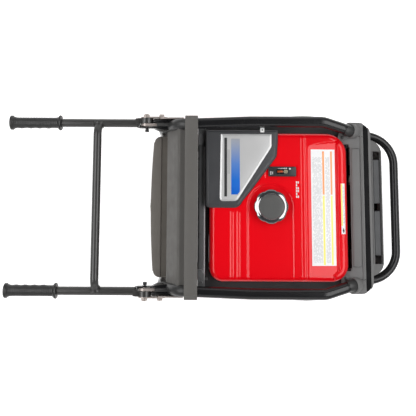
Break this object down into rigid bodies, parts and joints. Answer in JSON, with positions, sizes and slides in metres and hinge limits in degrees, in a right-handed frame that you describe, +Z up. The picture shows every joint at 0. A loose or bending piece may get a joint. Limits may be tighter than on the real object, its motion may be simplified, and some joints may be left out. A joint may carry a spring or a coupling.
{
  "type": "portable generator",
  "caption": "Frame-type inverter generator with bent side tubes, a pressed fuel tank on top, rear wheels and fold-out push handles.",
  "frame": {"origin": "on the floor, under the middle of the whole machine with its handles folded out", "axes": "+X towards the rear rail, -X towards the handle grips, +Y towards the left side, +Z up"},
  "size_m": [1.198, 0.688, 0.721],
  "materials": {
    "frame_black": "semi-gloss black powder coat",
    "handle_black": "semi-gloss black powder coat",
    "foot_rubber": "matt moulded rubber",
    "grip_rubber": "ribbed moulded rubber",
    "tyre_rubber": "matt ribbed tyre rubber",
    "rim_grey": "satin grey paint",
    "zinc": "zinc-plated steel",
    "beam_grey": "fine-textured warm grey moulding",
    "housing_grey": "fine-textured warm grey moulding",
    "panel_black": "fine-grained black panel",
    "display_glass": "glossy dark window",
    "outlet_ivory": "ivory moulding",
    "outlet_black": "black moulding",
    "knob_black": "black moulding",
    "eco_yellow": "yellow moulding",
    "strip_black": "semi-gloss black moulding",
    "tank_red": "glossy red enamel",
    "side_red": "glossy red enamel",
    "shroud_black": "matt black moulding",
    "neck_steel": "plated steel",
    "cap_core_black": "moulded closure and gasket",
    "cap_dark": "dark moulding, matt top and glossy lobes",
    "gauge_black": "matt black moulding",
    "needle_orange": "orange pointer",
    "gauge_lens": "clear window",
    "trim_charcoal": "satin charcoal moulding",
    "plate_silver": "satin silver plate",
    "shell_grey": "fine-textured grey moulding",
    "seal_black": "black rubber seal",
    "louvre_dark": "dark heat-resistant paint",
    "engine_alloy": "cast alloy",
    "shaft_steel": "machined steel",
    "fan_black": "black paint",
    "winding_copper": "steel laminations with enamelled copper windings",
    "muffler_steel": "heat-stained steel",
    "inverter_alloy": "finned cast alloy",
    "battery_case": "black case"
  },
  "bodies": {
    "frame": {"side_tube_left": "frame_black", "side_tube_right": "frame_black", "base_frame": "frame_black", "front_feet": "foot_rubber", "axle": "zinc", "rear_rail": "frame_black", "top_beam": "beam_grey", "front_hood": "beam_grey", "front_housing": "housing_grey", "control_panel": "panel_black", "display": "display_glass", "duplex_receptacles": "outlet_ivory", "locking_receptacles": "outlet_black", "ground_terminal": "zinc", "front_strip": "strip_black", "fuel_tank": "tank_red", "tank_shroud": "shroud_black", "filler_neck": "neck_steel", "fuel_gauge": "gauge_black", "gauge_lens": "gauge_lens", "tank_trim": "trim_charcoal", "trim_plate": "plate_silver", "rear_shell": "shell_grey", "rear_seal": "seal_black", "rear_cover": "shell_grey", "louvre_plates": "louvre_dark", "side_panel_left": "side_red", "side_panel_right": "side_red", "door_pins": "zinc", "cover_screws": "zinc", "hinge_bracket_left": "zinc", "hinge_bracket_right": "zinc", "engine_block": "engine_alloy", "cylinder_head": "engine_alloy", "alternator_stator": "winding_copper", "muffler": "muffler_steel", "inverter_unit": "inverter_alloy", "battery": "battery_case"},
    "wheel_left": {"tyre_left": "tyre_rubber", "rim_left": "rim_grey"},
    "wheel_right": {"tyre_right": "tyre_rubber", "rim_right": "rim_grey"},
    "handle": {"handle_arm_left": "handle_black", "handle_arm_right": "handle_black", "handle_crossbar": "handle_black", "handle_grips": "grip_rubber"},
    "lock_left": {"lock_pin_left": "knob_black"},
    "lock_right": {"lock_pin_right": "knob_black"},
    "cap_closure": {"cap_core": "cap_core_black"},
    "cap_shell": {"fuel_cap": "cap_dark"},
    "needle": {"gauge_needle": "needle_orange"},
    "switch_knob": {"engine_switch": "knob_black"},
    "eco_rocker": {"eco_switch": "eco_yellow"},
    "breaker_left": {"breaker_button_left": "knob_black"},
    "breaker_right": {"breaker_button_right": "knob_black"},
    "door": {"maintenance_door": "side_red"},
    "latch": {"door_latch": "knob_black"},
    "crank": {"crankshaft": "shaft_steel", "flywheel_fan": "fan_black", "alternator_rotor": "winding_copper"}
  },
  "joints": [
    {"name": "wheel_left_spin", "type": "hinge", "parent": "frame", "child": "wheel_left", "pos_m": [0.37, 0.308, 0.122], "axis": [0, 1, 0], "continuous": true},
    {"name": "wheel_right_spin", "type": "hinge", "parent": "frame", "child": "wheel_right", "pos_m": [0.37, -0.308, 0.122], "axis": [0, 1, 0], "continuous": true},
    {"name": "handle_fold", "type": "hinge", "parent": "frame", "child": "handle", "pos_m": [-0.1836, 0, 0.64], "axis": [0, -1, 0], "range_deg": [0, 90]},
    {"name": "lock_left_slide", "type": "slide", "parent": "frame", "child": "lock_left", "axis": [0, 1, 0], "range_m": [0, 0.005]},
    {"name": "lock_right_slide", "type": "slide", "parent": "frame", "child": "lock_right", "axis": [0, -1, 0], "range_m": [0, 0.005]},
    {"name": "cap_lift", "type": "slide", "parent": "frame", "child": "cap_closure", "axis": [0, 0, 1], "range_m": [0, 0.08]},
    {"name": "cap_turn", "type": "hinge", "parent": "cap_closure", "child": "cap_shell", "pos_m": [0.189, 0, 0.7], "axis": [0, 0, 1], "range_deg": [0, 120]},
    {"name": "gauge_swing", "type": "hinge", "parent": "frame", "child": "needle", "pos_m": [0.212, 0.1036, 0.6837], "axis": [0, 0, 1], "range_deg": [-17, 17]},
    {"name": "engine_switch_turn", "type": "hinge", "parent": "frame", "child": "switch_knob", "pos_m": [-0.144, 0.135, 0.36], "axis": [-1, 0, 0], "range_deg": [0, 90]},
    {"name": "eco_rock", "type": "hinge", "parent": "frame", "child": "eco_rocker", "pos_m": [-0.144, 0.062, 0.36], "axis": [0, 1, 0], "range_deg": [-10, 10]},
    {"name": "breaker_left_press", "type": "slide", "parent": "frame", "child": "breaker_left", "axis": [1, 0, 0], "range_m": [0, 0.003], "stiffness_N_per_m": 1200},
    {"name": "breaker_right_press", "type": "slide", "parent": "frame", "child": "breaker_right", "axis": [1, 0, 0], "range_m": [0, 0.003], "stiffness_N_per_m": 1200},
    {"name": "door_swing", "type": "hinge", "parent": "frame", "child": "door", "pos_m": [0.063, 0.2335, 0.335], "axis": [0, 0, 1], "range_deg": [0, 110]},
    {"name": "latch_turn", "type": "hinge", "parent": "door", "child": "latch", "pos_m": [0.306, 0.227, 0.335], "axis": [0, 1, 0], "range_deg": [0, 90]},
    {"name": "crank_spin", "type": "hinge", "parent": "frame", "child": "crank", "pos_m": [0.15, 0, 0.25], "axis": [1, 0, 0], "continuous": true}
  ]
}
